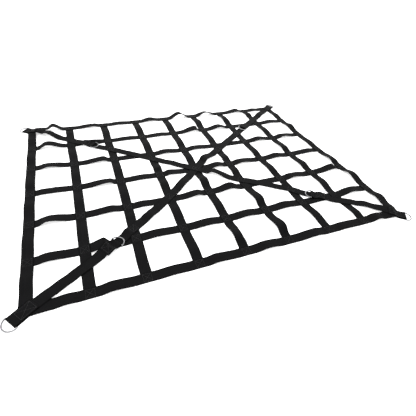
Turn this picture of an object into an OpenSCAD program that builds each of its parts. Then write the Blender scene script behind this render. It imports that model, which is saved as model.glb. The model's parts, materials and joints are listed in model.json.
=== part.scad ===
// Cargo net of flat webbing: a rectangular grid of straps with two corner-to-corner
// diagonals, folded corner tabs and eight D-rings.  It lies loosely on the ground.
// The near edge runs along +X and the far edge is at +Y.
// The origin is at the middle of the net, on the ground under it.

/* [Webbing] */
// Width of every strap of the net
strap_w = 45; // [40:1:46]
// Thickness of one layer of webbing
web_t = 1.6; // [1.2:0.1:2]
// Width of the folded corner tabs and ring loops
tab_w = 50; // [47:1:50]

/* [Net] */
// Centre distance of neighbouring straps
cell = 204; // [200:1:220]
// Height of the low wave that a strap makes between its crossings
low_wave = 4; // [0:0.5:5]
// How far the lower diagonal has slipped sideways in the near half of the net
slip = 36; // [0:1:36]
// Box of stitching: how far it keeps from the strap's edges
stitch_inset = 6; // [4:1:9]

/* [Rings] */
// Diameter of the ring wire
wire_d = 5; // [4:0.5:6]
// Opening of a D-ring along its straight bar
ring_open_w = 52; // [52:1:56]
// How far a corner ring's bar stands out from the corner crossing
corner_reach = 48; // [48:1:60]
// Usual distance from a corner crossing to the bar of the ring on the diagonal
inner_ring_at = 402; // [398:1:406]
// Length of the ring loop that is sewn to a diagonal
loop_len = 70; // [60:1:80]

/* [Hidden] */
cells_x = 8;
cells_y = 6;
half_w = strap_w / 2;
net_x = cells_x * cell;
net_y = cells_y * cell;
diagonal_len = norm([net_x, net_y]);
diagonal_angle = atan2(net_y, net_x);

// Half lengths of the flat places where one strap lies across another
flat_square = half_w + 1;
flat_over_row = half_w / sin(diagonal_angle) + half_w / tan(diagonal_angle) + 9;
flat_over_column = half_w / cos(diagonal_angle) + half_w * tan(diagonal_angle) + 8;
flat_side_corner = 46;
flat_long_corner = 72;
flat_diagonal_end = 90;
flat_loop_seat = 45;
flat_diagonals_cross = 33;

// A strap steps down over this length from one number of layers to another.
// Gaps between flats that are shorter than wave_gap_min make no wave.
step_ramp = 15;
wave_gap_min = 40;
wave_gap_full = 120;
facet = 26;

// Where straps end short of the outer edge, and where a diagonal ends beyond the crossing
end_inset = 3;
diagonal_overrun = 15;

// The far border stands up in tall waves.
// Each is [height of its crest, place of the crest from 0 to 1 along its gap].
far_border_waves = [
    [30, 0.4], [10, 0.8], [5, 0.5], [11, 0.5], [35, 0.5], [26, 0.4], [14, 0.8], [6, 0.5]
];
low_waves = [for (i = [1 : cells_x]) [low_wave, 0.5]];

// Sideways slip of a diagonal at the middle of its left half and of its right half
lower_slips = [-slip, 4];
upper_slips = [0, 0];

// Each ring loop is sewn on by hand, a little nearer to its corner or further from it
ring_shifts = [-18, 0, 2, 16];

// Ring and fold
wire_r = wire_d / 2;
ring_r = ring_open_w / 2 + wire_r;
wrap_gap = 0.3;
wrap_inner_r = wire_r + wrap_gap;
wrap_outer_r = wrap_inner_r + web_t;
corner_bar_z = wrap_outer_r;
loop_z = 3 * web_t;
inner_bar_z = loop_z + wrap_outer_r;
corner_droop = asin((corner_bar_z - wire_r - 0.1) / ring_r);
inner_droop = asin((inner_bar_z - loop_z - wire_r - wrap_gap) / ring_r);
tab_sewn = 36;
tab_flat_end = 32;
fold_rise = 22;

// Stitching
thread_w = 1.4;
thread_h = 0.4;

corner_names = ["near_left", "near_right", "far_left", "far_right"];
corner_signs = [[-1, -1], [1, -1], [-1, 1], [1, 1]];

// 0 below 0, 1 above 1, and a smooth step between
function smooth(t) = t <= 0 ? 0 : t >= 1 ? 1 : t * t * (3 - 2 * t);

// Numbers in rising order
function sorted(v) =
    len(v) < 2 ? v :
    let (rest = [for (i = [1 : len(v) - 1]) v[i]])
    concat(
        sorted([for (a = rest) if (a < v[0]) a]),
        [v[0]],
        sorted([for (a = rest) if (a >= v[0]) a])
    );

// A support is [place along the strap, half length of the flat, layers under the strap]
function support(at, half_flat, layers) = [at, half_flat, layers];

// Layers under the strap at s
function layers_at(s, supports) =
    max([for (k = supports) k[2] * (1 - smooth((abs(s - k[0]) - k[1]) / step_ramp))]);

// Distance from s to the nearest flat place, negative on a flat
function off_flat(s, supports) = min([for (k = supports) abs(s - k[0]) - k[1]]);

// The ends of the gap between flats that s lies in
function gap_start(s, supports) = max([for (k = supports) if (k[0] + k[1] <= s) k[0] + k[1]]);
function gap_end(s, supports) = min([for (k = supports) if (k[0] - k[1] >= s) k[0] - k[1]]);

// From 0 at both ends of a gap to 1 at the crest, which is at place
function crest_shape(t, place) =
    let (turn = t < place ? t / place : (1 - t) / (1 - place))
    (1 - cos(180 * turn)) / 2;

// Rise of the wave at s, above the layers that the strap lies on
function wave_at(s, supports, waves, pitch) =
    off_flat(s, supports) <= 0.001 ? 0 :
    let (a = gap_start(s, supports))
    let (b = gap_end(s, supports))
    let (w = waves[floor((a + b) / 2 / pitch)])
    let (share = smooth((b - a - wave_gap_min) / (wave_gap_full - wave_gap_min)))
    share * w[0] * crest_shape((s - a) / (b - a), w[1]);

// Height of the strap's underside at s
function underside(s, supports, waves, pitch) =
    web_t * layers_at(s, supports) + wave_at(s, supports, waves, pitch);

// Places where a strap's flats and steps begin and end, without near repeats
function stations(s0, s1, supports) =
    let (ends = [
        for (k = supports)
            for (reach = [k[1], k[1] + step_ramp])
                for (side = [-1, 1])
                    if (k[0] + side * reach > s0 + 1 && k[0] + side * reach < s1 - 1)
                        k[0] + side * reach
    ])
    let (all = concat([s0], sorted(ends), [s1]))
    [for (i = [0 : len(all) - 1]) if (i == 0 || all[i] - all[i - 1] > 0.01) all[i]];

// One strap from s0 to s1 along +X, centred on Y = 0: straight on its flats, and an even
// number of facets on each slope
module strap_solid(s0, s1, supports, waves, pitch, across) {
    ends = stations(s0, s1, supports);
    heights = [for (s = ends) underside(s, supports, waves, pitch)];
    places = concat([s0], [
        for (i = [1 : len(ends) - 1])
            let (a = ends[i - 1], b = ends[i])
            let (middle = underside((a + b) / 2, supports, waves, pitch))
            let (bend = abs(middle - heights[i - 1]) + abs(middle - heights[i]))
            let (count = bend < 0.01 ? 1 : 2 * max(1, round((b - a) / facet)))
            for (k = [1 : count]) a + (b - a) * k / count
    ]);
    low = [for (s = places) [s, underside(s, supports, waves, pitch)]];
    high = [for (i = [len(low) - 1 : -1 : 0]) low[i] + [0, web_t]];
    translate([0, across / 2, 0])
        rotate([90, 0, 0])
            linear_extrude(across)
                polygon(concat(low, high));
}

module webbing_colour() {
    color([0.11, 0.11, 0.12]) children();
}

module thread_colour() {
    color([0.06, 0.06, 0.065]) children();
}

module metal_colour() {
    color([0.75, 0.76, 0.78]) children();
}

// Straps that run along X: v is the row number, from 0 at the near edge
module along_x(v) {
    translate([-net_x / 2, v * cell - net_y / 2, 0]) children();
}

// Straps that run along Y: u is the column number, from 0 at the left edge
module along_y(u) {
    translate([u * cell - net_x / 2, -net_y / 2, 0]) rotate([0, 0, 90]) children();
}

// Slip of a diagonal at s, across it
function slip_at(s, slips) =
    let (t = 2 * s / diagonal_len)
    t <= 0 || t >= 2 ? 0 : t < 1 ? slips[0] * sin(180 * t) : slips[1] * sin(180 * (t - 1));

// Place of a point of a diagonal, from the corner where it starts
function diagonal_point(s, slips) = [
    s * cos(diagonal_angle) - slip_at(s, slips) * sin(diagonal_angle),
    s * sin(diagonal_angle) + slip_at(s, slips) * cos(diagonal_angle)
];

// Where a diagonal meets row v and column u, both counted from its start.
// Each try comes closer.
function meets_row(v, slips, s = 0, tries = 9) =
    tries == 0 ? s :
    meets_row(
        v, slips,
        (v * cell - slip_at(s, slips) * cos(diagonal_angle)) / sin(diagonal_angle), tries - 1
    );
function meets_column(u, slips, s = 0, tries = 9) =
    tries == 0 ? s :
    meets_column(
        u, slips,
        (u * cell + slip_at(s, slips) * sin(diagonal_angle)) / cos(diagonal_angle), tries - 1
    );

module row_strap(v) {
    lower = diagonal_point(meets_row(v, lower_slips), lower_slips);
    upper = diagonal_point(meets_row(cells_y - v, upper_slips), upper_slips);
    supports = concat(
        [for (u = [0 : cells_x]) support(u * cell, flat_square, 0)],
        [for (x = [lower[0], upper[0]]) support(x, flat_over_row, 0)]
    );
    reach = half_w - end_inset;
    webbing_colour()
        along_x(v)
            strap_solid(-reach, net_x + reach, supports, low_waves, cell, strap_w);
}

module column_strap(u) {
    lower = diagonal_point(meets_column(u, lower_slips), lower_slips);
    upper = diagonal_point(meets_column(u, upper_slips), upper_slips);
    supports = concat(
        [for (v = [0, cells_y]) support(v * cell, flat_square, 0)],
        [for (v = [1 : cells_y - 1]) support(v * cell, flat_square, 1)],
        [for (y = [lower[1], net_y - upper[1]]) support(y, flat_over_column, 0)]
    );
    reach = half_w - end_inset;
    webbing_colour()
        along_y(u)
            strap_solid(-reach, net_y + reach, supports, low_waves, cell, strap_w);
}

// Near and far borders lie over the ends of the columns, and over the side borders
module long_border(v, waves) {
    supports = concat(
        [for (u = [0, cells_x]) support(u * cell, flat_long_corner, 2)],
        [for (u = [1 : cells_x - 1]) support(u * cell, flat_square, 1)]
    );
    webbing_colour()
        along_x(v)
            strap_solid(-half_w, net_x + half_w, supports, waves, cell, strap_w);
}

// Left and right borders lie over the ends of the rows
module side_border(u) {
    supports = concat(
        [for (v = [0, cells_y]) support(v * cell, flat_side_corner, 1)],
        [for (v = [1 : cells_y - 1]) support(v * cell, flat_square, 1)]
    );
    webbing_colour()
        along_y(u)
            strap_solid(-half_w, net_y + half_w, supports, low_waves, cell, strap_w);
}

// Outline of a diagonal seen from above
module slipped_outline(s0, s1, slips) {
    steps = 24;
    places = [for (i = [0 : steps]) s0 + (s1 - s0) * i / steps];
    left = [for (s = places) [s, slip_at(s, slips) + half_w]];
    right = [for (i = [steps : -1 : 0]) left[i] - [0, strap_w]];
    polygon(concat(left, right));
}

// A diagonal that starts at the near left, or at the far left where side is -1.
// It lies flat at the corners, on the straps that it crosses and under the ring loops.
module diagonal_strap(side, slips, middle_layers, first_ring, last_ring) {
    supports = concat(
        [for (s = [0, diagonal_len]) support(s, flat_diagonal_end, 3)],
        [for (u = [1 : cells_x - 1]) support(meets_column(u, slips), flat_over_column, 2)],
        [for (v = [1 : cells_y - 1]) support(meets_row(v, slips), flat_over_row, 2)],
        [for (s = [first_ring, diagonal_len - last_ring]) support(s, flat_loop_seat, 2)],
        [support(diagonal_len / 2, flat_diagonals_cross, middle_layers)]
    );
    start = -diagonal_overrun;
    end = diagonal_len + diagonal_overrun;
    webbing_colour()
        translate([-net_x / 2, -side * net_y / 2, 0])
            rotate([0, 0, side * diagonal_angle])
                mirror([0, side > 0 ? 0 : 1, 0])
                    intersection() {
                        strap_solid(start, end, supports, low_waves, diagonal_len / cells_x,
                            strap_w + 2 * slip + 10);
                        linear_extrude(20)
                            slipped_outline(start, end, slips);
                    }
}

// Frame of a corner: +X points out of the net along the diagonal
module at_corner(i) {
    signs = corner_signs[i];
    translate([signs[0] * net_x / 2, signs[1] * net_y / 2, 0])
        rotate([0, 0, atan2(signs[1] * net_y, signs[0] * net_x)])
            children();
}

// Distance from a corner to the bar of its ring on the diagonal
function ring_at(i) = inner_ring_at + ring_shifts[i];

// How far a ring loop has slipped sideways with its diagonal, seen from its corner
function loop_slip(i) =
    i == 0 ? slip_at(ring_at(i), lower_slips) :
    i == 3 ? -slip_at(diagonal_len - ring_at(i), lower_slips) :
    0;

// Frame of a ring loop: +X points along the diagonal to the net's middle,
// from the sewn end of the loop
module at_loop(i) {
    at_corner(i)
        rotate([0, 0, 180])
            translate([ring_at(i) - loop_len, loop_slip(i), 0])
                children();
}

// A strip of webbing folded round a ring's bar: side view with X towards the bar
module fold_profile(x_start, x_flat_end, x_bar, z_low, z_top) {
    bar_z = z_low + wrap_outer_r;
    translate([x_start, z_low])
        square([x_bar - x_start, web_t]);
    polygon([
        [x_start, z_top],
        [x_flat_end, z_top],
        [x_bar, bar_z + wrap_inner_r],
        [x_bar, bar_z + wrap_outer_r],
        [x_flat_end, z_top + web_t],
        [x_start, z_top + web_t]
    ]);
    translate([x_bar, bar_z])
        difference() {
            circle(r = wrap_outer_r, $fn = 64);
            circle(r = wrap_inner_r, $fn = 64);
            translate([-2 * wrap_outer_r, -wrap_outer_r])
                square([2 * wrap_outer_r, 2 * wrap_outer_r]);
        }
}

module folded_webbing(x_start, x_flat_end, x_bar, z_low, z_top) {
    webbing_colour()
        translate([0, tab_w / 2, 0])
            rotate([90, 0, 0])
                linear_extrude(tab_w)
                    fold_profile(x_start, x_flat_end, x_bar, z_low, z_top);
}

// The tab holds both borders and the diagonal between its two layers
module corner_tab(i) {
    at_corner(i)
        folded_webbing(-tab_sewn, tab_flat_end, corner_reach, 0, 4 * web_t);
}

module ring_loop(i) {
    at_loop(i)
        folded_webbing(0, loop_len - fold_rise, loop_len, loop_z, loop_z + web_t);
}

// D-ring with its bar on the Y axis and its bow towards +X
module d_ring() {
    metal_colour() {
        rotate([90, 0, 0])
            cylinder(h = 2 * ring_r, r = wire_r, center = true, $fn = 48);
        for (side = [-1, 1])
            translate([0, side * ring_r, 0])
                sphere(r = wire_r, $fn = 48);
        rotate([0, 0, -90])
            rotate_extrude(angle = 180, $fn = 96)
                translate([ring_r, 0])
                    circle(r = wire_r, $fn = 48);
    }
}

module corner_ring(i) {
    at_corner(i)
        translate([corner_reach, 0, corner_bar_z])
            rotate([0, corner_droop, 0])
                d_ring();
}

module inner_ring(i) {
    at_loop(i)
        translate([loop_len, 0, inner_bar_z])
            rotate([0, inner_droop, 0])
                d_ring();
}

// A box of stitching with a cross in it, centred on the Z axis
module stitch_box(length, width) {
    cross_angle = atan2(width, length);
    thread_colour()
        linear_extrude(thread_h) {
            difference() {
                square([length, width], center = true);
                square([length - 2 * thread_w, width - 2 * thread_w], center = true);
            }
            intersection() {
                square([length, width], center = true);
                for (side = [-1, 1])
                    rotate(side * cross_angle)
                        square([norm([length, width]), thread_w], center = true);
            }
        }
}

module crossing_stitches() {
    size = strap_w - 2 * stitch_inset;
    for (u = [1 : cells_x - 1])
        for (v = [1 : cells_y - 1])
            if (!diagonal_covers(u, v))
                translate([u * cell - net_x / 2, v * cell - net_y / 2, 2 * web_t])
                    stitch_box(size, size);
}

// True where a diagonal lies over a part of the crossing of column u and row v
function diagonal_covers(u, v) = min(
    off_diagonal(u * cell, v * cell, lower_slips),
    off_diagonal(u * cell, net_y - v * cell, upper_slips)
) < 2 * half_w;

// Distance of a point from a diagonal that starts at the origin
function off_diagonal(x, y, slips) =
    let (s = x * cos(diagonal_angle) + y * sin(diagonal_angle))
    abs(y * cos(diagonal_angle) - x * sin(diagonal_angle) - slip_at(s, slips));

module border_stitches() {
    size = strap_w - 2 * stitch_inset;
    for (v = [0, cells_y])
        for (u = [1 : cells_x - 1])
            translate([u * cell - net_x / 2, v * cell - net_y / 2, 2 * web_t])
                stitch_box(size, size);
    for (u = [0, cells_x])
        for (v = [1 : cells_y - 1])
            translate([u * cell - net_x / 2, v * cell - net_y / 2, 2 * web_t])
                stitch_box(size, size);
}

// Where a diagonal is sewn to the columns under it, and to the other diagonal
module diagonal_stitches() {
    size = strap_w - 2 * stitch_inset;
    for (side = [-1, 1])
        for (u = [2, 3, 5, 6]) {
            slips = side > 0 ? lower_slips : upper_slips;
            place = diagonal_point(meets_column(u, slips), slips);
            translate([place[0] - net_x / 2, side * (place[1] - net_y / 2), 3 * web_t])
                rotate([0, 0, side * diagonal_angle])
                    stitch_box(size, size);
        }
    rotate([0, 0, -diagonal_angle])
        translate([0, 0, 4 * web_t])
            stitch_box(size, size);
}

module corner_tab_stitches() {
    length = tab_sewn + tab_flat_end - 2 * stitch_inset;
    for (i = [0 : 3])
        at_corner(i)
            translate([(tab_flat_end - tab_sewn) / 2, 0, 5 * web_t])
                stitch_box(length, tab_w - 2 * stitch_inset);
}

module ring_loop_stitches() {
    length = loop_len - fold_rise - 2 * stitch_inset;
    for (i = [0 : 3])
        at_loop(i)
            translate([length / 2 + stitch_inset, 0, loop_z + 2 * web_t])
                stitch_box(length, tab_w - 2 * stitch_inset);
}

long_border(0, low_waves);  // near_border_strap
long_border(cells_y, far_border_waves);  // far_border_strap
side_border(0);  // left_border_strap
side_border(cells_x);  // right_border_strap
row_strap(1);  // row_strap_1
row_strap(2);  // row_strap_2
row_strap(3);  // row_strap_3
row_strap(4);  // row_strap_4
row_strap(5);  // row_strap_5
column_strap(1);  // column_strap_1
column_strap(2);  // column_strap_2
column_strap(3);  // column_strap_3
column_strap(4);  // column_strap_4
column_strap(5);  // column_strap_5
column_strap(6);  // column_strap_6
column_strap(7);  // column_strap_7
diagonal_strap(1, lower_slips, 2, ring_at(0), ring_at(3));  // diagonal_strap_lower
diagonal_strap(-1, upper_slips, 3, ring_at(2), ring_at(1));  // diagonal_strap_upper
for (i = [0 : 3]) {
    corner_tab(i);
    ring_loop(i);
    corner_ring(i);
    inner_ring(i);
}
crossing_stitches();
border_stitches();
diagonal_stitches();
corner_tab_stitches();
ring_loop_stitches();
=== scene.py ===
"""Looks of the cargo net: ribbed black webbing, folded tabs, sewn thread and bright D-rings.

Every strap follows the middle line of its CAD solid and rises into loose waves between the
places where others lie across it.  Lengths are in metres.
"""

import json
import math

import bpy
import numpy as np
from mathutils import Matrix, Vector


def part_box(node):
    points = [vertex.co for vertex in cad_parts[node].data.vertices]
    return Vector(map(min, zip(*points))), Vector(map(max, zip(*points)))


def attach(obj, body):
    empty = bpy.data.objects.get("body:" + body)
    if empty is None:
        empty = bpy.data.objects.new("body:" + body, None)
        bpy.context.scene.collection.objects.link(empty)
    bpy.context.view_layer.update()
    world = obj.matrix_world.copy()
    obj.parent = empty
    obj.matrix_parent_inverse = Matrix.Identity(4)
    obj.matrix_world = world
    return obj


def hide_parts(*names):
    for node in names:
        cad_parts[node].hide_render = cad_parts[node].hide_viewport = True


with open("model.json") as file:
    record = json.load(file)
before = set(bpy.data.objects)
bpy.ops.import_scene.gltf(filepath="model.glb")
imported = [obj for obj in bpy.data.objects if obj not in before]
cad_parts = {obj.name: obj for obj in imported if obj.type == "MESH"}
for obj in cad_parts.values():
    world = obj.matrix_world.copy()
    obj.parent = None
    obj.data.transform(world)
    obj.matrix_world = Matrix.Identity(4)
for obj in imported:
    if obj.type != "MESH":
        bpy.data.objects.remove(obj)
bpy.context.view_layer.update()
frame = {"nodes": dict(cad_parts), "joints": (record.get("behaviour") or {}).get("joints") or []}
MM = 0.001
X, Y, Z = 0, 1, 2
UP = np.array([0.0, 0.0, 1.0])


# ---- Sizes read from the frame -------------------------------------------------------

def side(node, axis):
    """Length of a node's box along an axis."""
    low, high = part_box(node)
    return high[axis] - low[axis]


def middle(node, axis):
    """Middle of a node's box along an axis."""
    low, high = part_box(node)
    return (low[axis] + high[axis]) / 2


def ring_bar(ring):
    """Middle of a ring's bar, from the joint that the ring swings on."""
    joint = next(j for j in frame["joints"] if j["child"] == ring)
    return np.array(joint["pos_m"])


STRAP_W = side("row_strap_1", Y)
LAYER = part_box("crossing_stitches")[0][Z] / 2
HALF_X = middle("right_border_strap", X)
HALF_Y = middle("far_border_strap", Y)
DIAGONAL = math.atan2(HALF_Y, HALF_X)
CORNERS = {
    "near_left": (-1, -1),
    "near_right": (1, -1),
    "far_left": (-1, 1),
    "far_right": (1, 1),
}
TAB_W = 50 * MM
CELL = middle("column_strap_2", X) - middle("column_strap_1", X)

# Webbing: thinner than the layer it fills, so that thread and ribs stay inside the stack
WEB_T = 1.3 * MM
RIBS = 15
RIB_H = 0.14 * MM
STEP = 5 * MM
SMOOTH_OVER = 9 * MM

# Points of a CAD solid nearer than this are one point
SAME_POINT = 0.01 * MM
# Straps whose headings differ by less than this, in radians, don't cross
ALONGSIDE = 0.01
# Stations of a CAD strap lie further apart than this, and span most of its width
STATION_APART = 0.2 * MM
STATION_SPANS = 0.9 * STRAP_W

# Held lengths: past the edge of a strap that lies across, at the corners, and under the
# ring loops
EDGE_HELD = 3 * MM
CORNER_HELD = 62 * MM
LONG_CORNER_HELD = 98 * MM
LOOP_MIDDLE = 32 * MM
LOOP_HELD = 42 * MM

# A gap shorter than SHORT_GAP makes no wave, and one longer than LONG_GAP a whole one
SHORT_GAP = 30 * MM
LONG_GAP = 110 * MM

# Waves of each strap from left to right or from near to far, one to each cell:
# height of the crest in millimetres, and its place from 0 to 1 along its gap
ROW_WAVES = {
    "near_border_strap": [
        (6, 0.5), (9, 0.35), (5, 0.5), (8, 0.3), (12, 0.5), (9, 0.7), (5, 0.3), (14, 0.5)],
    "row_strap_1": [
        (9, 0.3), (8, 0.3), (6, 0.4), (7, 0.6), (9, 0.5), (8, 0.5), (10, 0.7), (14, 0.4)],
    "row_strap_2": [
        (20, 0.35), (8, 0.7), (5, 0.5), (13, 0.7), (16, 0.6), (9, 0.5), (13, 0.3), (14, 0.8)],
    "row_strap_3": [
        (4, 0.2), (16, 0.8), (4, 0.6), (8, 0.2), (12, 0.6), (12, 0.3), (10, 0.5), (6, 0.7)],
    "row_strap_4": [
        (13, 0.4), (14, 0.8), (5, 0.5), (9, 0.4), (8, 0.3), (13, 0.5), (12, 0.5), (14, 0.3)],
    "row_strap_5": [
        (25, 0.35), (18, 0.6), (4, 0.7), (5, 0.6), (20, 0.85), (18, 0.6), (16, 0.5), (8, 0.5)],
    "far_border_strap": [
        (30, 0.4), (10, 0.8), (5, 0.5), (11, 0.5), (35, 0.5), (26, 0.4), (14, 0.8), (6, 0.5)],
}
COLUMN_WAVES = {
    "left_border_strap": [(6, 0.5), (6, 0.5), (7, 0.6), (8, 0.3), (6, 0.5), (7, 0.5)],
    "column_strap_1": [(7, 0.5), (6, 0.5), (7, 0.5), (6, 0.5), (7, 0.5), (6, 0.5)],
    "column_strap_2": [(4, 0.5), (8, 0.4), (6, 0.5), (7, 0.5), (8, 0.5), (7, 0.5)],
    "column_strap_3": [(7, 0.3), (8, 0.6), (8, 0.5), (12, 0.4), (8, 0.5), (9, 0.5)],
    "column_strap_4": [(21, 0.4), (7, 0.5), (12, 0.5), (8, 0.5), (8, 0.4), (8, 0.5)],
    "column_strap_5": [(17, 0.35), (16, 0.35), (10, 0.5), (9, 0.5), (6, 0.3), (11, 0.5)],
    "column_strap_6": [(5, 0.5), (12, 0.6), (8, 0.5), (7, 0.3), (9, 0.4), (16, 0.5)],
    "column_strap_7": [(8, 0.4), (8, 0.5), (10, 0.4), (12, 0.3), (8, 0.5), (14, 0.5)],
    "right_border_strap": [(12, 0.5), (18, 0.6), (14, 0.3), (6, 0.4), (12, 0.6), (7, 0.5)],
}
# Diagonals: which way each one slopes, and the waves in eighths of its length
DIAGONAL_WAVES = {
    "diagonal_strap_lower": (1, [
        (4, 0.5), (8, 0.5), (8, 0.5), (9, 0.5), (12, 0.3), (10, 0.5), (12, 0.5), (10, 0.5)]),
    "diagonal_strap_upper": (-1, [
        (22, 0.35), (14, 0.5), (18, 0.4), (5, 0.5), (20, 0.2), (12, 0.4), (16, 0.5), (9, 0.4)]),
}

# Pushes that left the net a little out of square on the floor: the column and the row
# where each is strongest, how many cells it reaches, and how far it moves the webbing
# along X and Y in millimetres.  The rings and what holds them stay where they are.
PUSHES = [
    (4.5, 0.0, 3.5, 1.3, 0, 10),
    (1.9, 0.6, 0.9, 0.9, -6, 2),
    (2.2, 4.2, 1.8, 2.0, 8, 0),
    (6.4, 0.5, 1.2, 1.8, 19, 2),
    (8.0, 1.5, 0.9, 1.8, 18, 8),
    (0.0, 4.0, 1.1, 1.3, -2, 13),
    (4.4, 3.35, 0.3, 0.3, -6, 9),
    (4.85, 2.3, 0.3, 0.35, -6, -8),
]
# Places where the net as a whole stands up off the floor: column, row, how far the hump
# reaches in millimetres, and its height in millimetres
HUMPS = [
    (1.47, 1.13, 68, 32),
    (1.55, 4.95, 60, 12),
    (6.55, 1.15, 60, 12),
    (0.2, 5.88, 58, 20),
    (8.0, 0.15, 60, 16),
]

# No push reaches nearer to a sewn ring loop or tab than FIXED, and it grows over FADE
PUSH_FIXED = 62 * MM
PUSH_FADE = 100 * MM
# The same for a hump, from the middle of the bow that lies on the net
BOW_MIDDLE = 15 * MM
HUMP_FIXED = 36 * MM
HUMP_FADE = 26 * MM

# A strap leans where a wave is higher than LEAN_FROM, fully so LEAN_OVER higher up.  Its
# lean turns from side to side along the strap, a little differently on each one.
LEAN_FROM = 6 * MM
LEAN_OVER = 12 * MM
LEAN_ANGLE = math.radians(11)
LEAN_SHIFT = 4 * MM
LEAN_TURN = 0.29
LEAN_TURN_STEP = 0.013
LEAN_START = 2.4

# Fold round a ring's bar: where the upper leaf starts to rise to it, and steps of its path
FOLD_RISE = 22 * MM
UNDER_STEP = 3 * MM
OVER_STEP = 2.5 * MM
TURN_STEPS = 15

# One stitch of thread
STITCH = 3.4 * MM
STITCH_GAP = 0.7 * MM
THREAD_R = 0.45 * MM
THREAD_SIDES = 6

# Length of one pick of the weave, and of one turn of the thread's plies
PICK = 1.5 * MM
PLY_TURN = 0.9 * MM

# Colours between which each material varies
WEBBING_DARK = (0.0004, 0.0004, 0.0005, 1)
WEBBING_LIGHT = (0.008, 0.008, 0.0086, 1)
THREAD_DARK = (0.003, 0.003, 0.0035, 1)
THREAD_LIGHT = (0.012, 0.012, 0.013, 1)
RING_BRIGHT = (0.25, 0.25, 0.255, 1)
RING_DULL = (0.15, 0.15, 0.155, 1)
RING_WORN = (0.14, 0.14, 0.145, 1)
FLOOR_DARK = (0.9, 0.9, 0.9, 1)
FLOOR_LIGHT = (0.94, 0.94, 0.94, 1)

# Studio: the floor's own glow, half its side, how far it lies under the net, and the lights
FLOOR_GLOW = 0.45
FLOOR_HALF = 6.0
FLOOR_DROP = 0.2 * MM
WORLD_LIGHT = 1.5
KEY_PLACE = (-1.6, -0.6, 2.6)
RIM_PLACE = (1.2, 2.6, 1.8)

# Camera: degrees round the net, up from the floor and tilted, and its place in metres
CAMERA_AZIMUTH = -24.35
CAMERA_ELEVATION = 41.98
CAMERA_ROLL = 5.48
CAMERA_PLACE = (-0.531, -1.249, 0.939)
CAMERA_LENS = 25.96
CAMERA_SENSOR = 36
CAMERA_SHIFT = 0.0258


# ---- Materials -----------------------------------------------------------------------

class Nodes:
    """A material's node tree, with short calls that add and link nodes."""

    def __init__(self, name):
        self.material = bpy.data.materials.new(name)
        self.material.use_nodes = True
        self.tree = self.material.node_tree
        self.shader = self.tree.nodes["Principled BSDF"]

    def add(self, kind, inputs=None, **settings):
        node = self.tree.nodes.new("ShaderNode" + kind)
        for key, value in settings.items():
            setattr(node, key, value)
        for key, value in (inputs or {}).items():
            if isinstance(value, bpy.types.NodeSocket):
                self.tree.links.new(value, node.inputs[key])
            else:
                node.inputs[key].default_value = value
        return node

    def math(self, operation, a, b=0.0, c=0.0, clamp=False):
        node = self.add("Math", {0: a, 1: b, 2: c}, operation=operation, use_clamp=clamp)
        return node.outputs[0]

    def ramp(self, value, low, high, to_low=0.0, to_high=1.0):
        node = self.add("MapRange", {
            "Value": value,
            "From Min": low,
            "From Max": high,
            "To Min": to_low,
            "To Max": to_high,
        })
        return node.outputs[0]

    def mix(self, factor, a, b):
        node = self.add("Mix", {0: factor, 6: a, 7: b}, data_type="RGBA")
        return node.outputs[2]

    def noise(self, vector, scale, detail=3.0):
        node = self.add("TexNoise", {"Vector": vector, "Scale": scale, "Detail": detail})
        return node.outputs["Fac"]

    def bump(self, height, strength, distance, normal=None):
        inputs = {"Height": height, "Strength": strength, "Distance": distance}
        if normal is not None:
            inputs["Normal"] = normal
        return self.add("Bump", inputs).outputs["Normal"]

    def give(self, **sockets):
        for key, value in sockets.items():
            socket = self.shader.inputs[key.replace("_", " ")]
            if isinstance(value, bpy.types.NodeSocket):
                self.tree.links.new(value, socket)
            else:
                socket.default_value = value


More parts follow.
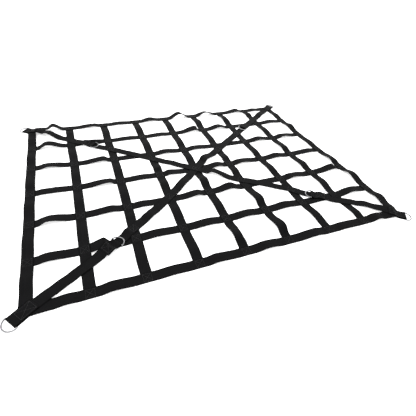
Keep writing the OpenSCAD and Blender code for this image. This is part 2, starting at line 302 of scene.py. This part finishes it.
def webbing_material(name, width):
    """Woven polyester: lengthwise ribs, crosswise picks, painted shade on the edges, faint wear.
    """
    m = Nodes(name)
    uv = m.add("UVMap", uv_map="webbing").outputs["UV"]
    parts = m.add("SeparateXYZ", {"Vector": uv})
    across, along = parts.outputs[0], parts.outputs[1]

    # Ribs run along the strap, one to each ridge of the mesh
    rib_turns = m.math("MULTIPLY", across, 2 * math.pi * RIBS / width)
    rib = m.math("COSINE", rib_turns)
    rib = m.math("MULTIPLY_ADD", rib, -0.5, 0.5)
    # Picks cross the ribs, and show a little earlier or later from one rib to the next
    offset = m.math("MULTIPLY", m.math("SINE", m.math("MULTIPLY", rib_turns, 0.5)), 0.9)
    pick_turns = m.math("MULTIPLY_ADD", along, 2 * math.pi / PICK, offset)
    pick = m.math("MULTIPLY_ADD", m.math("SINE", pick_turns), 0.5, 0.5)
    weave = m.math("MULTIPLY", rib, m.math("MULTIPLY_ADD", pick, 0.5, 0.5))

    # Distance from the nearer edge, 0 at the edge
    off_middle = m.math("ABSOLUTE", m.math("SUBTRACT", across, width / 2))
    off_edge = m.math("SUBTRACT", width / 2, off_middle)
    # Painted shade: a mask that is 1 at the edge and 0 from 4.5 mm in, for the shade where the
    # edge turns from the light
    edge = m.ramp(off_edge, 0.4 * MM, 4.5 * MM, 1.0, 0.0)

    # Yarns differ a little in tone, in long streaks
    long_coords = m.add("CombineXYZ", {0: m.math("MULTIPLY", across, 900.0), 1: along})
    streak = m.noise(long_coords.outputs[0], 1.6, 2.0)
    blotch_place = m.add("NewGeometry").outputs["Position"]
    blotch = m.noise(blotch_place, 14.0, 4.0)
    fuzz = m.noise(uv, 2600.0, 2.0)

    tone = m.math("MULTIPLY_ADD", weave, 0.55, 0.12)
    for pattern, share in ((streak, 0.9), (blotch, 0.7), (fuzz, 0.25)):
        tone = m.math("MULTIPLY_ADD", m.math("SUBTRACT", pattern, 0.5), share, tone)
    # Painted shade: the colour darkens towards each edge
    tone = m.math("MULTIPLY_ADD", edge, -0.75, tone, clamp=True)
    colour = m.mix(tone, WEBBING_DARK, WEBBING_LIGHT)

    roughness = m.ramp(blotch, 0.3, 0.7, 0.66, 0.8)
    height = m.math("MULTIPLY_ADD", fuzz, 0.25, weave)
    normal = m.bump(height, 0.7, 0.25 * MM)
    m.give(
        Base_Color=colour,
        Roughness=roughness,
        Normal=normal,
        Sheen_Weight=0.004,
        Sheen_Roughness=0.4,
        Specular_IOR_Level=0.05,
    )
    return m.material


def thread_material():
    """Bonded thread: two plies laid round each other, a little glossier than the webbing."""
    m = Nodes("thread")
    uv = m.add("UVMap", uv_map="webbing").outputs["UV"]
    parts = m.add("SeparateXYZ", {"Vector": uv})
    twist = m.math("MULTIPLY", parts.outputs[1], 2 * math.pi / PLY_TURN)
    twist = m.math("MULTIPLY_ADD", parts.outputs[0], 2 * math.pi, twist)
    ply = m.math("MULTIPLY_ADD", m.math("SINE", twist), 0.5, 0.5)
    place = m.add("NewGeometry").outputs["Position"]
    tone = m.noise(place, 60.0)
    tone = m.math("MULTIPLY_ADD", ply, 0.4, m.math("MULTIPLY", tone, 0.6), clamp=True)
    m.give(
        Base_Color=m.mix(tone, THREAD_DARK, THREAD_LIGHT),
        Roughness=m.ramp(ply, 0, 1, 0.55, 0.42),
        Normal=m.bump(ply, 0.5, 0.12 * MM),
        Specular_IOR_Level=0.4,
    )
    return m.material


def ring_material():
    """Nickel-plated round wire: bright, with fine scuffs and dull spots."""
    m = Nodes("ring_metal")
    place = m.add("NewGeometry").outputs["Position"]
    dull = m.noise(place, 55.0, 5.0)
    scuff = m.noise(place, 700.0, 3.0)
    scuff_line = m.ramp(m.math("ABSOLUTE", m.math("SUBTRACT", scuff, 0.5)), 0.0, 0.03, 1.0, 0.0)
    worn = m.math("MULTIPLY", scuff_line, m.ramp(dull, 0.4, 0.65))
    tint = m.mix(m.ramp(dull, 0.35, 0.7), RING_BRIGHT, RING_DULL)
    rough = m.ramp(dull, 0.3, 0.75, 0.16, 0.32)
    m.give(
        Base_Color=m.mix(m.math("MULTIPLY", worn, 0.5), tint, RING_WORN),
        Metallic=1.0,
        Roughness=m.math("ADD", rough, m.math("MULTIPLY", worn, 0.2)),
        Normal=m.bump(scuff, 0.12, 0.05 * MM),
    )
    return m.material


def floor_material():
    """Pale matt top of a light table, with a barely visible grain."""
    m = Nodes("studio_floor")
    place = m.add("NewGeometry").outputs["Position"]
    grain = m.noise(place, 90.0, 4.0)
    m.give(
        Base_Color=m.mix(grain, FLOOR_DARK, FLOOR_LIGHT),
        Roughness=0.85,
        Normal=m.bump(grain, 0.05, 0.2 * MM),
        Specular_IOR_Level=0.2,
        Emission_Color=(1, 1, 1, 1),
        Emission_Strength=FLOOR_GLOW,
    )
    return m.material


# ---- Webbing as ribbons --------------------------------------------------------------

def section(width):
    """Webbing cut across, as rows of (across, up): ribbed faces and rounded edges."""
    edge = WEB_T / 2 - RIB_H / 2
    flat = width / 2 - edge
    across = np.linspace(-flat, flat, 2 * RIBS + 1)
    crest = np.arange(2 * RIBS + 1) % 2
    top = np.column_stack([across, edge + crest * RIB_H / 2])
    turn = np.radians([55, 0, -55])
    right = np.column_stack([flat + edge * np.cos(turn), edge * np.sin(turn)])
    return np.vstack([top, right, top[::-1] * [1, -1], right[::-1] * [-1, 1]])


def unit(rows):
    """Rows of vectors, each made one long."""
    return rows / np.linalg.norm(rows, axis=-1, keepdims=True)


def mesh_object(name, points, faces, uvs, material):
    """A smooth-shaded mesh object, raised by the humps of the net; uvs go with its faces."""
    raised = points + humps(points)[:, None] * UP
    mesh = bpy.data.meshes.new(name)
    mesh.from_pydata(raised.tolist(), [], faces)
    layer = mesh.uv_layers.new(name="webbing")
    layer.data.foreach_set("uv", np.asarray(uvs, dtype=np.float32).ravel())
    mesh.polygons.foreach_set("use_smooth", [len(f) == 4 for f in faces])
    mesh.materials.append(material)
    mesh.update()
    made = bpy.data.objects.new(name, mesh)
    bpy.context.scene.collection.objects.link(made)
    return made


def ribbon(name, path, sideways, roll, width, material):
    """A strap along path, a row of points; sideways is the direction across it.

    Returns the object and the length of webbing in it.
    """
    steps = np.linalg.norm(np.diff(path, axis=0), axis=1)
    along = np.concatenate([[0], np.cumsum(steps)])
    tangent = unit(np.gradient(path, along, axis=0))
    across = unit(sideways - tangent * (tangent @ sideways)[:, None])
    face = np.cross(tangent, across)
    turn = roll[:, None]
    across, face = (
        across * np.cos(turn) + face * np.sin(turn),
        face * np.cos(turn) - across * np.sin(turn),
    )
    outline = section(width)
    count = len(outline)
    points = (
        path[:, None, :]
        + across[:, None, :] * outline[None, :, 0, None]
        + face[:, None, :] * outline[None, :, 1, None]
    ).reshape(-1, 3)
    faces = []
    uvs = []
    place = outline[:, 0] + width / 2
    for i in range(len(path) - 1):
        for j in range(count):
            k = (j + 1) % count
            faces.append((i * count + j, i * count + k, (i + 1) * count + k, (i + 1) * count + j))
            uvs += [
                (place[j], along[i]),
                (place[k], along[i]),
                (place[k], along[i + 1]),
                (place[j], along[i + 1]),
            ]
    last = (len(path) - 1) * count
    faces.append(tuple(range(count))[::-1])
    uvs += [(place[j], 0.0) for j in range(count)][::-1]
    faces.append(tuple(range(last, last + count)))
    uvs += [(place[j], along[-1]) for j in range(count)]
    return mesh_object(name, points, faces, uvs, material), along[-1]


class Line:
    """Middle line of a strap, read from its CAD solid and resampled at every STEP."""

    def __init__(self, node, origin, heading, waves):
        self.node = node
        self.origin = np.array(origin)
        self.heading = heading
        self.waves = waves
        self.direction = np.array([math.cos(heading), math.sin(heading)])
        self.left = np.array([-self.direction[1], self.direction[0]])
        places, offsets, heights = self.read()
        count = round((places[-1] - places[0]) / STEP)
        self.along = np.linspace(places[0], places[-1], count + 1)
        self.offset = smoothed(np.interp(self.along, places, offsets))
        self.height = smoothed(np.interp(self.along, places, heights))
        self.plan = (
            self.origin
            + self.along[:, None] * self.direction
            + self.offset[:, None] * self.left
        )

    def read(self):
        """Places along, offsets across and heights of the underside, from the CAD mesh."""
        points = np.array([v.co for v in frame["nodes"][self.node].data.vertices])
        flat = points[:, :2] - self.origin
        points = points[np.argsort(flat @ self.direction)]
        flat = points[:, :2] - self.origin
        along = flat @ self.direction
        across = flat @ self.left
        cuts = np.flatnonzero(np.diff(along) > STATION_APART) + 1
        rows = []
        for group in np.split(np.arange(len(along)), cuts):
            low, high = across[group].min(), across[group].max()
            if high - low > STATION_SPANS:
                rows.append((along[group].mean(), (low + high) / 2, points[group, 2].min()))
        return np.array(rows).T

    def gap(self, plan):
        """How far points in plan lie to the left of this strap's middle line."""
        flat = plan - self.origin
        return flat @ self.left - np.interp(flat @ self.direction, self.along, self.offset)


def smoothed(values):
    """Values at every STEP, averaged over SMOOTH_OVER with a bell-shaped weight."""
    reach = int(2 * SMOOTH_OVER / STEP)
    weight = np.exp(-0.5 * (np.arange(-reach, reach + 1) * STEP / (SMOOTH_OVER / 2)) ** 2)
    padded = np.pad(values, reach, mode="edge")
    return np.convolve(padded, weight / weight.sum(), mode="valid")


def smooth_step(t):
    """From 0 to 1 as t does, level at both ends."""
    t = np.clip(t, 0, 1)
    return t * t * (3 - 2 * t)


def held_places(line, lines):
    """Where a strap is held flat: pairs of a place along it and half the held length."""
    held = []
    for other in lines:
        angle = abs(line.heading - other.heading)
        if angle < ALONGSIDE:
            continue
        gap = other.gap(line.plan)
        half = (STRAP_W / 2) * (1 / math.sin(angle) + 1 / abs(math.tan(angle))) + EDGE_HELD
        for k in np.flatnonzero(gap[:-1] * gap[1:] <= 0):
            held.append((line.along[k] + STEP / 2, half))
    if line.node.startswith(("near", "far", "left", "right", "diagonal")):
        long_border = line.node.startswith(("near", "far"))
        half = LONG_CORNER_HELD if long_border else CORNER_HELD
        held += [(line.along[0], half), (line.along[-1], half)]
    if line.node.startswith("diagonal"):
        for name in CORNERS:
            bar = ring_bar(name + "_inner_ring")[:2]
            if abs(line.gap(bar[None, :])[0]) < STRAP_W / 2:
                place = (bar - line.origin) @ line.direction
                back = 1 if place > line.along[-1] / 2 else -1
                held.append((place + back * LOOP_MIDDLE, LOOP_HELD))
    return np.array(held)


def waves_of(line, lines):
    """Height of a strap's waves, in the gaps where nothing lies across it."""
    held = held_places(line, lines)
    starts = held[:, 0] + held[:, 1]
    ends = held[:, 0] - held[:, 1]
    pitch = (line.along[0] + line.along[-1]) / len(line.waves)
    rise = np.zeros(len(line.along))
    for k, s in enumerate(line.along):
        if (np.abs(s - held[:, 0]) <= held[:, 1]).any():
            continue
        a = starts[starts <= s].max()
        b = ends[ends >= s].min()
        crest, place = line.waves[int((a + b) / 2 / pitch)]
        share = smooth_step((b - a - SHORT_GAP) / (LONG_GAP - SHORT_GAP))
        t = (s - a) / (b - a)
        turn = t / place if t < place else (1 - t) / (1 - place)
        rise[k] = share * crest * MM * (1 - math.cos(math.pi * turn)) / 2
    return rise


def outward(corner):
    """Direction in plan from the middle of the net to a corner."""
    sx, sy = CORNERS[corner]
    return np.array([sx * math.cos(DIAGONAL), sy * math.sin(DIAGONAL), 0])


def away_from_rings(plan, shift, fixed, fade):
    """Share at points in plan: 0 within fixed of a ring, and 1 from fade further off.

    It is measured from the bar of each corner ring, and from a place that lies shift
    outward of the bar of each inner ring.
    """
    share = np.ones(len(plan))
    for corner in CORNERS:
        inner = ring_bar(corner + "_inner_ring") + outward(corner) * shift
        for place in (inner, ring_bar(corner + "_corner_ring")):
            far = np.linalg.norm(plan - place[:2], axis=1)
            share *= smooth_step((far - fixed) / fade)
    return share


def lay(plan):
    """How far the loose net has been pushed about on the floor, at points in plan."""
    moved = np.zeros_like(plan)
    u = (plan[:, 0] + HALF_X) / CELL
    v = (plan[:, 1] + HALF_Y) / CELL
    for at_u, at_v, wide_u, wide_v, push_x, push_y in PUSHES:
        share = np.exp(-((u - at_u) / wide_u) ** 2 - ((v - at_v) / wide_v) ** 2)
        moved += share[:, None] * np.array([push_x, push_y]) * MM
    return moved * away_from_rings(plan, LOOP_MIDDLE, PUSH_FIXED, PUSH_FADE)[:, None]


def humps(points):
    """How far the humps of the net lift points of the webbing, which never lift a ring."""
    u = (points[:, 0] + HALF_X) / CELL
    v = (points[:, 1] + HALF_Y) / CELL
    lift = np.zeros(len(points))
    for at_u, at_v, reach, height in HUMPS:
        away = np.hypot(u - at_u, v - at_v) * CELL / (reach * MM)
        lift += height * MM * np.exp(-away ** 2)
    return lift * away_from_rings(points[:, :2], -BOW_MIDDLE, HUMP_FIXED, HUMP_FADE)


def strap(line, lines, number):
    """One strap of the net, which leans a little where it stands up."""
    rise = waves_of(line, lines)
    height = smoothed(np.maximum(line.height, rise))
    turn = LEAN_TURN + LEAN_TURN_STEP * number
    lean = np.sin(line.along / turn * math.pi + LEAN_START * number)
    lean *= np.clip((rise - LEAN_FROM) / LEAN_OVER, 0, 1)
    plan = line.plan + lay(line.plan) + (lean * LEAN_SHIFT)[:, None] * line.left
    left = np.append(line.left, 0)
    path = np.column_stack([plan, height + LAYER / 2])
    roll = lean * LEAN_ANGLE
    piece, length = ribbon(line.node + "_webbing", path, left, roll, STRAP_W, WEBBING)
    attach(piece, "net")
    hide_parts(line.node)


def all_straps():
    """Rows and columns from their own ends, diagonals from the left, then laid in turn."""
    lines = []
    for node, waves in ROW_WAVES.items():
        lines.append(Line(node, (-HALF_X, middle(node, Y)), 0, waves))
    for node, waves in COLUMN_WAVES.items():
        lines.append(Line(node, (middle(node, X), -HALF_Y), math.pi / 2, waves))
    for node, (slope, waves) in DIAGONAL_WAVES.items():
        lines.append(Line(node, (-HALF_X, -slope * HALF_Y), slope * DIAGONAL, waves))
    for number, line in enumerate(lines):
        strap(line, lines, number)


# ---- Folded tabs and ring loops ------------------------------------------------------

def folded(node, ring, direction, stitches):
    """Webbing folded round a ring's bar; direction points from the sewn end to the bar."""
    bar = ring_bar(ring)
    points = np.array([v.co for v in frame["nodes"][node].data.vertices])
    start = ((points - bar) @ direction).min()
    low = points[:, 2].min() + LAYER / 2
    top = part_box(stitches)[0][Z] - LAYER / 2
    radius = bar[2] - low
    under = np.arange(start, -1 * MM, UNDER_STEP)
    turn = np.linspace(-math.pi / 2, math.pi / 2, TURN_STEPS)
    over = np.append(np.arange(0, start, -OVER_STEP)[1:], start)
    over_z = top + (bar[2] + radius - top) * smooth_step(1 + over / FOLD_RISE)
    forward = np.concatenate([under, radius * np.cos(turn), over])
    turn_z = bar[2] + radius * np.sin(turn)
    height = np.concatenate([np.full(len(under), low), turn_z, over_z])
    path = bar * [1, 1, 0] + forward[:, None] * direction + height[:, None] * UP
    left = np.cross(UP, direction)
    flat_roll = np.zeros(len(path))
    piece, length = ribbon(node + "_webbing", path, left, flat_roll, TAB_W, TAB_WEBBING)
    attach(piece, "net")
    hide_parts(node)


def all_folds():
    """A tab folded outward and a ring loop folded inward at every corner."""
    for corner in CORNERS:
        out = outward(corner)
        folded(corner + "_corner_tab", corner + "_corner_ring", out, "corner_tab_stitches")
        folded(corner + "_ring_loop", corner + "_inner_ring", -out, "ring_loop_stitches")


# ---- Stitching -----------------------------------------------------------------------

def stitch_outline():
    """One stitch along +X: rings of a thread that dips into the webbing at both ends."""
    half = (STITCH - STITCH_GAP) / 2
    places = np.array([-1.0, -0.75, 0.0, 0.75, 1.0]) * half
    sink = np.array([-0.35, 0.1, 0.22, 0.1, -0.35]) * MM
    radius = np.array([0.35, 0.95, 1.0, 0.95, 0.35]) * THREAD_R
    turn = np.arange(THREAD_SIDES) * 2 * math.pi / THREAD_SIDES
    rings = np.zeros((len(places), THREAD_SIDES, 3))
    rings[:, :, 0] = places[:, None]
    rings[:, :, 1] = radius[:, None] * np.cos(turn)
    rings[:, :, 2] = sink[:, None] + 0.6 * radius[:, None] * np.sin(turn)
    return rings


def islands(node):
    """The separate solids of a node, each as the array of its points."""
    mesh = frame["nodes"][node].data
    places = np.array([v.co for v in mesh.vertices])
    keys = np.round(places / SAME_POINT).astype(int)
    _, same = np.unique(keys, axis=0, return_inverse=True)
    same = same.ravel()
    group = np.arange(same.max() + 1)
    edges = np.array([same[list(e.vertices)] for e in mesh.edges])
    changed = True
    while changed:
        low = np.minimum(group[edges[:, 0]], group[edges[:, 1]])
        before = group.copy()
        np.minimum.at(group, edges[:, 0], low)
        np.minimum.at(group, edges[:, 1], low)
        changed = (before != group).any()
    label = group[same]
    return [places[label == k] for k in np.unique(label)]


def seam_angle(node, centre):
    """Direction of a box of stitching, from where it is."""
    if node in ("crossing_stitches", "border_stitches"):
        return 0.0
    slope = 1 if centre[X] * centre[Y] > 1e-6 else -1
    return slope * DIAGONAL


def box_seams(centre, angle, length, width):
    """The six straight seams of a box with a cross in it, as pairs of points."""
    corners = [(-1, -1), (1, -1), (1, 1), (-1, 1)]
    turned = []
    for a, b in corners:
        x = a * length / 2
        y = b * width / 2
        turned.append(np.array([
            centre[0] + x * math.cos(angle) - y * math.sin(angle),
            centre[1] + x * math.sin(angle) + y * math.cos(angle),
        ]))
    pairs = [(0, 1), (1, 2), (2, 3), (3, 0), (0, 2), (1, 3)]
    return [(turned[i], turned[j]) for i, j in pairs]


def seam_stitches(template, a, b, surface):
    """The stitches of a straight seam from a to b, each as rings of points."""
    run = np.linalg.norm(b - a)
    count = max(1, round(run / STITCH))
    way = (b - a) / run
    cross = np.array([-way[1], way[0]])
    stitches = []
    for i in range(count):
        place = a + (b - a) * (i + 0.5) / count
        at = np.empty_like(template)
        at[..., :2] = place + template[..., 0, None] * way + template[..., 1, None] * cross
        at[..., 2] = surface + template[..., 2]
        stitches.append(at.reshape(-1, 3))
    return stitches


def box_stitches(node, solid, template):
    """The stitches of one sewn box, on top of the webbing under its CAD solid."""
    low, high = solid.min(axis=0), solid.max(axis=0)
    centre = ((low + high) / 2)[:2]
    angle = seam_angle(node, centre)
    turn = np.array([[math.cos(angle), math.sin(angle)], [-math.sin(angle), math.cos(angle)]])
    local = (solid[:, :2] - centre) @ turn.T
    length, width = local.max(axis=0) - local.min(axis=0) - THREAD_R * 2
    surface = low[2] - (LAYER - WEB_T) / 2
    centre = centre + lay(centre[None, :])[0]
    stitches = []
    for a, b in box_seams(centre, angle, length, width):
        stitches += seam_stitches(template, a, b, surface)
    return stitches


def thread_faces(stitch_count, ring_count):
    """Faces of a number of stitches, closed at both ends, and their UVs."""
    faces = []
    uvs = []
    sides = range(THREAD_SIDES)
    for n in range(stitch_count):
        base = n * ring_count * THREAD_SIDES
        for i in range(ring_count - 1):
            here = i * STITCH / (ring_count - 1)
            there = (i + 1) * STITCH / (ring_count - 1)
            row = base + i * THREAD_SIDES
            for j in sides:
                k = (j + 1) % THREAD_SIDES
                faces.append((row + j, row + THREAD_SIDES + j, row + THREAD_SIDES + k, row + k))
                left, right = j / THREAD_SIDES, (j + 1) / THREAD_SIDES
                uvs += [(left, here), (left, there), (right, there), (right, here)]
        faces.append(tuple(base + j for j in sides))
        uvs += [(j / THREAD_SIDES, 0.0) for j in sides]
        end = base + (ring_count - 1) * THREAD_SIDES
        faces.append(tuple(end + j for j in sides)[::-1])
        uvs += [(j / THREAD_SIDES, STITCH) for j in sides][::-1]
    return faces, uvs


def stitching(node):
    """All the thread that shows on top of one group of sewn boxes."""
    template = stitch_outline()
    stitches = []
    for solid in islands(node):
        stitches += box_stitches(node, solid, template)
    faces, uvs = thread_faces(len(stitches), len(template))
    piece = mesh_object(node + "_thread", np.vstack(stitches), faces, uvs, THREAD)
    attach(piece, "net")
    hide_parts(node)


# ---- Rings ---------------------------------------------------------------------------

def dress_rings():
    """The CAD rings keep their shape and get a plated finish."""
    metal = ring_material()
    for name in CORNERS:
        for ring in (name + "_corner_ring", name + "_inner_ring"):
            made = frame["nodes"][ring]
            made.data.materials.clear()
            made.data.materials.append(metal)
            made.data.polygons.foreach_set("use_smooth", [True] * len(made.data.polygons))


# ---- Studio --------------------------------------------------------------------------

def floor():
    """A square of floor, just under the lowest webbing."""
    half = FLOOR_HALF
    mesh = bpy.data.meshes.new("floor")
    corners = [(-half, -half, 0), (half, -half, 0), (half, half, 0), (-half, half, 0)]
    mesh.from_pydata(corners, [], [(0, 1, 2, 3)])
    mesh.materials.append(floor_material())
    made = bpy.data.objects.new("floor", mesh)
    made.location.z = -FLOOR_DROP
    bpy.context.scene.collection.objects.link(made)


def area_light(name, place, size, power):
    """A square soft box that faces the middle of the net."""
    data = bpy.data.lights.new(name, "AREA")
    data.size = size
    data.energy = power
    made = bpy.data.objects.new(name, data)
    made.location = place
    made.rotation_mode = "QUATERNION"
    made.rotation_quaternion = (-Vector(place)).to_track_quat("-Z", "Y")
    bpy.context.scene.collection.objects.link(made)


def studio():
    """Pale floor in an even white room, with two large soft boxes."""
    floor()
    world = bpy.data.worlds.new("studio")
    world.use_nodes = True
    background = world.node_tree.nodes["Background"]
    background.inputs["Color"].default_value = (1, 1, 1, 1)
    background.inputs["Strength"].default_value = WORLD_LIGHT
    bpy.context.scene.world = world
    area_light("key", KEY_PLACE, size=1.6, power=45)
    area_light("rim", RIM_PLACE, size=2.0, power=40)
    bpy.context.scene.view_settings.view_transform = "Standard"


def camera():
    """Stands at the near left and looks down at the net, tilted a little to the right."""
    azimuth = math.radians(CAMERA_AZIMUTH)
    elevation = math.radians(CAMERA_ELEVATION)
    roll = math.radians(CAMERA_ROLL)
    back = Vector((
        math.sin(azimuth) * math.cos(elevation),
        -math.cos(azimuth) * math.cos(elevation),
        math.sin(elevation),
    ))
    level = (-back).cross(Vector((0, 0, 1))).normalized()
    upright = back.cross(level)
    right = level * math.cos(roll) + upright * math.sin(roll)
    up = upright * math.cos(roll) - level * math.sin(roll)
    data = bpy.data.cameras.new("camera")
    data.sensor_width = CAMERA_SENSOR
    data.lens = CAMERA_LENS
    data.shift_x = CAMERA_SHIFT
    made = bpy.data.objects.new("camera", data)
    turned = Matrix((right, up, back)).transposed().to_4x4()
    made.matrix_world = Matrix.Translation(CAMERA_PLACE) @ turned
    bpy.context.scene.collection.objects.link(made)
    bpy.context.scene.camera = made


WEBBING = webbing_material("webbing", STRAP_W)
TAB_WEBBING = webbing_material("tab_webbing", TAB_W)
THREAD = thread_material()

camera()
studio()
all_straps()
all_folds()
for group in ("crossing", "border", "diagonal", "corner_tab", "ring_loop"):
    stitching(group + "_stitches")
dress_rings()
